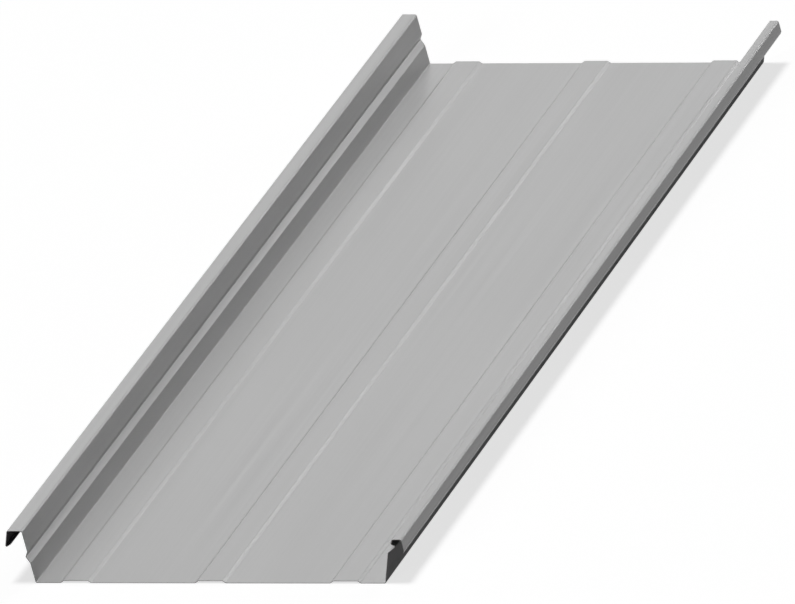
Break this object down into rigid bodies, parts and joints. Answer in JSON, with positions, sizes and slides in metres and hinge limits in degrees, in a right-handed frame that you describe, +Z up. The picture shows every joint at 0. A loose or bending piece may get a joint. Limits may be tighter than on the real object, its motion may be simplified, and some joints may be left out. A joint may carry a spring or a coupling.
{
  "type": "standing seam roof panel",
  "caption": "Roll-formed metal roof panel: flat pan with low stiffening waves between a hooked overlapping rib and a lower snap-in underlapping rib.",
  "frame": {"origin": "middle of the whole panel's box on plan, at the level of the pan's underside", "axes": "+X across the panel from the overlapping rib to the underlapping rib, +Y along the panel, +Z up, out of the roof"},
  "size_m": [0.5274, 2, 0.0707],
  "materials": {
    "coated_steel": "satin"
  },
  "bodies": {
    "root": {"roof_panel": "coated_steel"}
  },
  "joints": []
}
